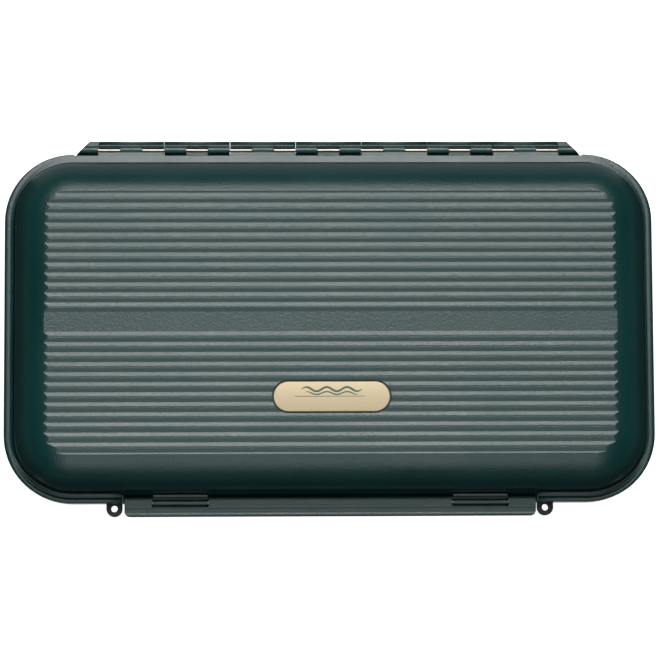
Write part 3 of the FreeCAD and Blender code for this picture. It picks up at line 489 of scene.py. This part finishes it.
def make_rim_moulding(material):
    """The moulding on the lid's rim: a rounded bead round the sides, with a second ridge inside it in front."""
    half_x, half_y, corner, rim_z = 98.0, 52.8, 20.5, 26.0
    sink = 0.5
    # Inset from the rim's outer edge, height over the rim
    front = [
        (0.03, -0.30), (0.05, 0.0), (0.15, 0.22), (0.35, 0.36), (0.65, 0.42), (1.0, 0.40), (1.3, 0.30),
        (1.5, 0.12), (1.65, 0.02), (1.95, 0.02), (2.1, 0.10), (2.25, 0.26), (2.5, 0.38), (2.8, 0.40),
        (3.05, 0.30), (3.2, 0.10), (3.25, -0.30),
    ]
    side = [
        (0.03, -0.30), (0.05, -0.02), (0.25, 0.12), (0.5, 0.24), (0.75, 0.31), (1.0, 0.34), (1.25, 0.35),
        (1.5, 0.34), (1.7, 0.32), (1.9, 0.27), (2.05, 0.22), (2.15, 0.17), (2.25, 0.12), (2.33, 0.07),
        (2.4, 0.02), (2.44, -0.05), (2.45, -0.30),
    ]
    # Along the front, from beside the latch to the corner: place along X, share of the full height
    starts = ((62.5, 0.75), (62.8, 1.0), (70.0, 1.0))
    # Shares of a corner's turn: where the front's profile starts to become the side's, over what share it does
    # so, and where the side's profile has faded out at the rear
    blend_start, blend_span, fade_turn = 0.3, 0.6, 0.85
    fade_depth = 0.98

    def ring(sign, place, outward, share, height):
        """The moulding's section at a place on the rim's outer edge; share leads from front to side."""
        points = []
        for (inset_front, up_front), (inset_side, up_side) in zip(front, side):
            inset = inset_front + (inset_side - inset_front) * share
            up = up_front + (up_side - up_front) * share
            if up > 0:
                up *= height
            up -= sink * (1.0 - height)
            x = place[0] - outward[0] * inset
            y = place[1] - outward[1] * inset
            points.append(Vector((sign * x, y, rim_z + up)) * MM)
        return points

    for name, sign in (("left", -1), ("right", 1)):
        rings = [ring(sign, (x, -half_y), (0, -1), 0.0, height) for x, height in starts]
        steps = 20
        for step in range(steps + 1):
            turn = step / steps
            angle = math.radians(-90 + 90 * turn)
            outward = (math.cos(angle), math.sin(angle))
            place = (half_x - corner + outward[0] * corner, -half_y + corner + outward[1] * corner)
            share = min(max((turn - blend_start) / blend_span, 0.0), 1.0)
            rings.append(ring(sign, place, outward, share * share * (3 - 2 * share), 1.0))
        rings.append(ring(sign, (half_x, 0.0), (1, 0), 1.0, 1.0))
        for step in range(steps + 1):
            turn = fade_turn * step / steps
            angle = math.radians(90 * turn)
            outward = (math.cos(angle), math.sin(angle))
            place = (half_x - corner + outward[0] * corner, half_y - corner + outward[1] * corner)
            rings.append(ring(sign, place, outward, 1.0, 1.0 - fade_depth * (turn / fade_turn) ** 2))
        piece = f"rim_moulding_{name}"
        new_piece(piece, swept_mesh(piece, rings, False), material, "lid")


def make_hinge_ridges(material):
    """The ridge along the rear edge of each hinge block: a narrow top and a slope down to the ledge."""
    axis_y, axis_z = 54.65, 22.0
    # Distance behind the hinge's axis, height over it
    section = [
        (1.50, 0.85), (1.50, 0.95), (1.58, 0.965), (1.85, 1.035), (2.05, 1.09), (2.12, 1.115),
        (2.18, 1.125), (2.43, 1.125), (2.49, 1.10), (2.53, 1.04), (2.53, 0.85),
    ]
    half, pitch, blocks, chamfer = 9.9, 20.0, 7, 0.06
    for number in range(blocks):
        centre = (number - (blocks - 1) / 2) * pitch
        rings = []
        for x, shrink in ((-half, chamfer), (chamfer - half, 0.0), (half - chamfer, 0.0), (half, chamfer)):
            ring = []
            for out, up in section:
                drop = shrink if up > 1.0 else 0.0
                ring.append(Vector((centre + x, axis_y + out, axis_z + up - drop)) * MM)
            rings.append(ring)
        name = f"hinge_ridge_{number + 1}"
        body = "base" if number % 2 else "lid"
        new_piece(name, swept_mesh(name, rings, False), material, body)


def make_sills(material):
    """Rounded caps on the base's sills, which close the ends of the latch's windows from below."""
    # Y and Z, from the cap's back over its underside and front to its top
    section = [
        (-52.5, 20.70), (-53.75, 20.70), (-53.90, 20.78), (-53.92, 20.95), (-53.92, 21.66),
        (-53.86, 21.80), (-53.74, 21.88), (-52.5, 21.88),
    ]
    inner, outer, chamfer = 36.65, 53.85, 0.08
    back, middle_z = -53.0, 21.3
    for side, sign in (("left", -1), ("right", 1)):
        rings = []
        for x, shrink in ((inner, chamfer), (inner + chamfer, 0.0), (outer - chamfer, 0.0), (outer, chamfer)):
            ring = []
            for y, z in section:
                inset_y = shrink if y < back else 0.0
                inset_z = shrink if z < middle_z else -shrink
                ring.append(Vector((sign * x, y + inset_y, z + inset_z)) * MM)
            rings.append(ring)
        name = f"sill_cap_{side}"
        new_piece(name, swept_mesh(name, rings, False), material, "base")


def stroke_rings(points, widths, base_z, thickness):
    """Sections of a painted stroke along points in plan, crowned across."""
    section = [(-1.0, -0.3), (-1.0, 0.45), (-0.8, 0.85), (0.0, 1.0), (0.8, 0.85), (1.0, 0.45), (1.0, -0.3)]
    rings = []
    for index, point in enumerate(points):
        before = points[max(index - 1, 0)]
        after = points[min(index + 1, len(points) - 1)]
        along = Vector((after[0] - before[0], after[1] - before[1], 0)).normalized()
        across = Vector((-along.y, along.x, 0))
        half = widths[index] / 2
        middle = Vector((point[0], point[1], base_z))
        rings.append([middle + across * (share * half) + Vector((0, 0, up * thickness))
                      for share, up in section])
    return rings


def make_badge_print(material):
    """A plain ornament painted on the badge: two waves over a hairline."""
    low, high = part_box("badge_plate")
    middle_x = (low.x + high.x) / 2
    middle_y = (low.y + high.y) / 2
    thickness = 0.03 * MM
    hairline = 0.18
    taper_rate = 6.0
    steps = 72

    def wave(name, start, end, rise, swing, length, stroke, phase):
        """A painted wave, in millimetres from the badge's middle, that thins to a hairline at both ends."""
        points, widths = [], []
        for step in range(steps + 1):
            share = step / steps
            x = start + (end - start) * share
            y = rise + swing * math.sin(2 * math.pi * (x - start) / length + phase)
            points.append((middle_x + x * MM, middle_y + y * MM))
            taper = min(1.0, taper_rate * share, taper_rate * (1.0 - share))
            widths.append((hairline + (stroke - hairline) * math.sin(taper * math.pi / 2)) * MM)
        mesh = swept_mesh(name, stroke_rings(points, widths, high.z, thickness), False)
        new_piece(name, mesh, material, "lid")

    wave("badge_wave_upper", -9.0, 9.0, rise=2.15, swing=0.62, length=6.0, stroke=0.62, phase=0.0)
    wave("badge_wave_lower", -7.6, 7.6, rise=1.0, swing=0.42, length=6.0, stroke=0.40, phase=1.466)
    wave("badge_hairline", -10.8, 9.8, rise=0.05, swing=0.0, length=6.0, stroke=hairline, phase=0.0)


make_camera()
make_lamps()
make_world()
make_floor()
make_card()
make_studio()

green = moulded_plastic("green_plastic", (0.0018, 0.0285, 0.0265), 0.33, grain=0.8)
black = moulded_plastic("black_plastic", (0.008, 0.011, 0.012), 0.52, specular=0.3)
tray = moulded_plastic("tray_plastic", (0.010, 0.018, 0.017), 0.45)
enamel = moulded_plastic("badge_enamel", (0.030, 0.075, 0.050), 0.40, 0.15, 0.00005)
rubber = moulded_plastic("seal_rubber", (0.020, 0.021, 0.022), 0.6, 0.2)
steel = drawn_steel("steel", (0.46, 0.42, 0.385))
badge_low, badge_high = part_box("badge_plate")
gold = satin_gold("gold_badge", (0.40, 0.33, 0.205), (badge_low.y + badge_high.y) / 2)
foam = cell_foam("foam", (0.70, 0.69, 0.65))

FINISHES = {
    "lid_shell": green,
    "base_shell": green,
    "latch_bar": green,
    "hinge_pin": steel,
    "latch_pin": steel,
    "badge_plate": gold,
    "lanyard_eye_left": black,
    "lanyard_eye_right": black,
    "base_tray": tray,
    "lid_tray": tray,
}
for node, material in FINISHES.items():
    paint(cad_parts[node], material)
make_foam(foam)
make_seal(rubber)
make_rim_moulding(green)
make_hinge_ridges(green)
make_sills(green)
make_badge_print(enamel)
